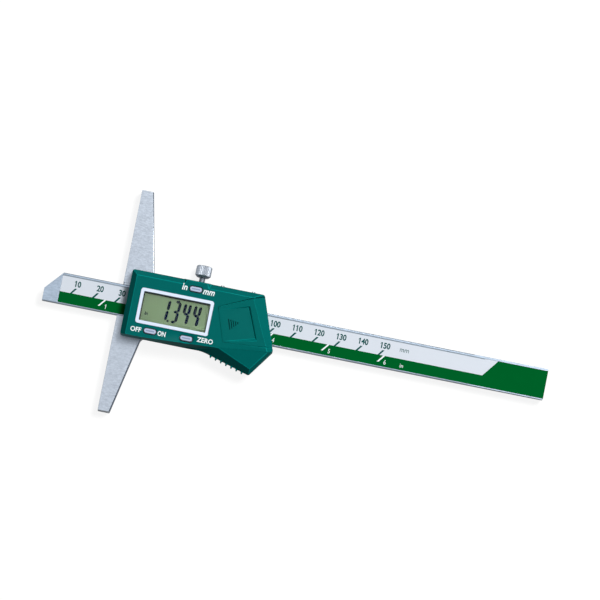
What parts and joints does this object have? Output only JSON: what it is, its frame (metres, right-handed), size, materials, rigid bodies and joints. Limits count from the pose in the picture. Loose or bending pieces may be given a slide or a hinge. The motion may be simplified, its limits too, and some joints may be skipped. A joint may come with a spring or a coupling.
{
  "type": "digital depth gauge",
  "caption": "Slim digital depth gauge: T-shaped measuring base on a slider with an electronic display, a graduated depth beam, a lock screw, push buttons and a sliding battery cover.",
  "frame": {"origin": "centre of the base's measuring face: on the measuring plane, on the centre line of the depth beam, half way through the thickness of the base", "axes": "+X along the depth beam from the measuring face to the beam's rear end, +Y along the base towards the lock screw, +Z out of the display; the gauge lies on its back"},
  "size_m": [0.228, 0.101, 0.0146],
  "materials": {
    "base_steel": "finely ground stainless steel",
    "gib_steel": "ground spring steel strip",
    "screw_steel": "turned steel",
    "knob_steel": "knurled, plated",
    "beam_steel": "hardened stainless steel, ground",
    "circuit_laminate": "glass-fibre laminate",
    "label_print": "printed film, white field and green band",
    "housing_green": "moulded, fine satin texture",
    "bezel_silver": "silver painted moulding",
    "window_clear": "clear acrylic",
    "holder_plastic": "white moulding",
    "lcd_glass": "reflective grey-green liquid crystal panel",
    "zebra_rubber": "layered conductive rubber",
    "black_resin": "black resin",
    "button_silver": "silver painted moulding",
    "battery_steel": "nickel plated can",
    "contact_brass": "plated spring strip"
  },
  "bodies": {
    "gauge_body": {"base_frame": "base_steel", "gib_strip": "gib_steel", "gib_screws": "screw_steel", "housing": "housing_green", "module_screws": "screw_steel", "display_bezel": "bezel_silver", "display_window": "window_clear", "display_holder": "holder_plastic", "lcd_panel": "lcd_glass", "zebra_strips": "zebra_rubber", "circuit_board": "circuit_laminate", "processor_cap": "black_resin", "tact_switches": "black_resin", "battery": "battery_steel", "battery_spring": "contact_brass", "battery_clip": "contact_brass"},
    "depth_beam": {"beam": "beam_steel", "scale_circuit": "circuit_laminate", "scale_label": "label_print", "stop_screw": "screw_steel"},
    "lock_knob": {"lock_screw": "knob_steel"},
    "unit_key": {"unit_button": "button_silver"},
    "power_key": {"power_button": "button_silver"},
    "zero_key": {"zero_button": "button_silver"},
    "battery_door": {"battery_cover": "housing_green"}
  },
  "joints": [
    {"name": "depth_slide", "type": "slide", "parent": "gauge_body", "child": "depth_beam", "axis": [-1, 0, 0], "range_m": [-0.03414, 0.11586]},
    {"name": "lock_screw_turn", "type": "hinge", "parent": "gauge_body", "child": "lock_knob", "pos_m": [0.0342, 0.02, 0.00115], "axis": [0, 1, 0], "range_deg": [0, 360]},
    {"name": "unit_button_press", "type": "slide", "parent": "gauge_body", "child": "unit_key", "axis": [0, 0, -1], "range_m": [0, 0.0004], "stiffness_N_per_m": 1000, "springref_m": -0.0003},
    {"name": "power_button_press", "type": "slide", "parent": "gauge_body", "child": "power_key", "axis": [0, 0, -1], "range_m": [0, 0.0004], "stiffness_N_per_m": 1000, "springref_m": -0.0003},
    {"name": "zero_button_press", "type": "slide", "parent": "gauge_body", "child": "zero_key", "axis": [0, 0, -1], "range_m": [0, 0.0004], "stiffness_N_per_m": 1000, "springref_m": -0.0003},
    {"name": "battery_cover_slide", "type": "slide", "parent": "gauge_body", "child": "battery_door", "axis": [0.9483, 0.3173, 0], "range_m": [0, 0.02]}
  ]
}
